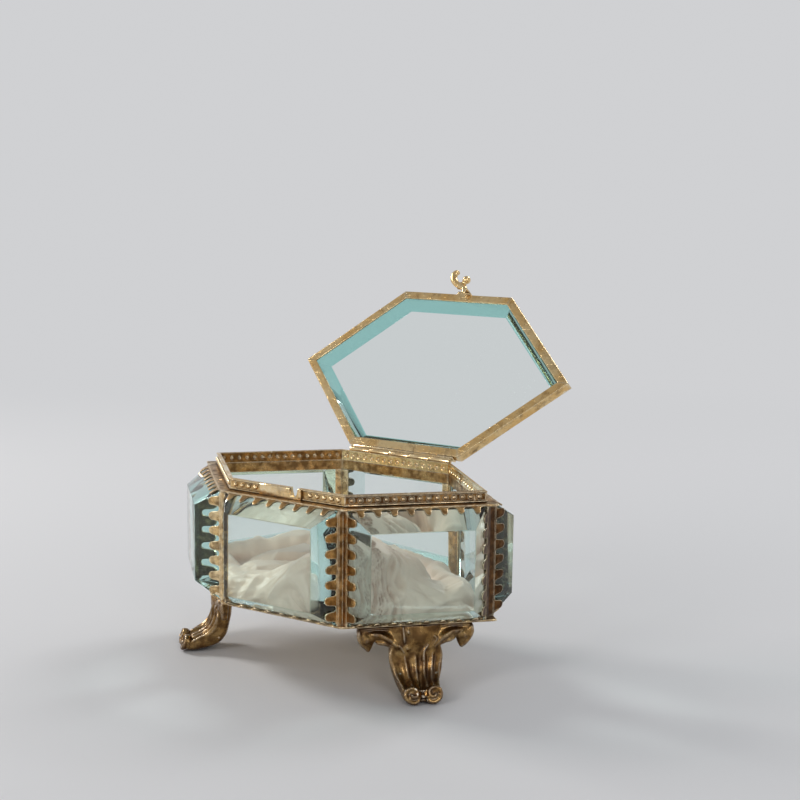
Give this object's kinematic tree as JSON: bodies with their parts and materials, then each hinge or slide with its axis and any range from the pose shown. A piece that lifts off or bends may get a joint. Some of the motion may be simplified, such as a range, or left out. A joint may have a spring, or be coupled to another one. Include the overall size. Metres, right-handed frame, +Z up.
{
  "type": "jewelry box",
  "caption": "Hexagonal glass jewellery casket with scalloped gilt brass frame, beaded gallery, hinged bevelled glass lid, thumb clasp, silk lining and cast feet.",
  "frame": {"origin": "on the table, under the middle of the hexagonal body", "axes": "+Z up, front side with the clasp's strike plate towards -Y, hinge side towards +Y, X along the hinge pin"},
  "size_m": [0.1, 0.1051, 0.1074],
  "materials": {
    "gilt_brass": "old gilding, bright on edges, brown in the recesses",
    "worn_gilt": "gilding worn to dull brass",
    "cast_brass": "dark patinated casting, bright on the high places",
    "bevelled_glass": "polished, faint green tint",
    "cream_silk": "crumpled cream silk with a soft sheen"
  },
  "bodies": {
    "body": {"base_plate": "worn_gilt", "silk_lining": "cream_silk", "pane_front": "bevelled_glass", "pane_front_right": "bevelled_glass", "pane_back_right": "bevelled_glass", "pane_back": "bevelled_glass", "pane_back_left": "bevelled_glass", "pane_front_left": "bevelled_glass", "post_front_left": "gilt_brass", "post_front_right": "gilt_brass", "post_right": "gilt_brass", "post_back_right": "gilt_brass", "post_back_left": "gilt_brass", "post_left": "gilt_brass", "lower_rail_front": "worn_gilt", "lower_rail_front_right": "worn_gilt", "lower_rail_back_right": "worn_gilt", "lower_rail_back": "worn_gilt", "lower_rail_back_left": "worn_gilt", "lower_rail_front_left": "worn_gilt", "upper_rail_front": "worn_gilt", "upper_rail_front_right": "worn_gilt", "upper_rail_back_right": "worn_gilt", "upper_rail_back": "worn_gilt", "upper_rail_back_left": "worn_gilt", "upper_rail_front_left": "worn_gilt", "gallery_front": "gilt_brass", "gallery_front_right": "gilt_brass", "gallery_back_right": "gilt_brass", "gallery_back": "gilt_brass", "gallery_back_left": "gilt_brass", "gallery_front_left": "gilt_brass", "strike_plate": "gilt_brass", "foot_front_left": "cast_brass", "foot_front_right": "cast_brass", "foot_back": "cast_brass", "hinge_leaf_body": "gilt_brass", "hinge_pin": "worn_gilt"},
    "lid": {"hinge_leaf_lid": "gilt_brass", "lid_frame": "gilt_brass", "lid_pane": "bevelled_glass", "clasp": "gilt_brass"}
  },
  "joints": [
    {"name": "lid_hinge", "type": "hinge", "parent": "body", "child": "lid", "pos_m": [0, 0.02927, 0.05355], "axis": [1, 0, 0], "range_deg": [0, 124.9]}
  ]
}
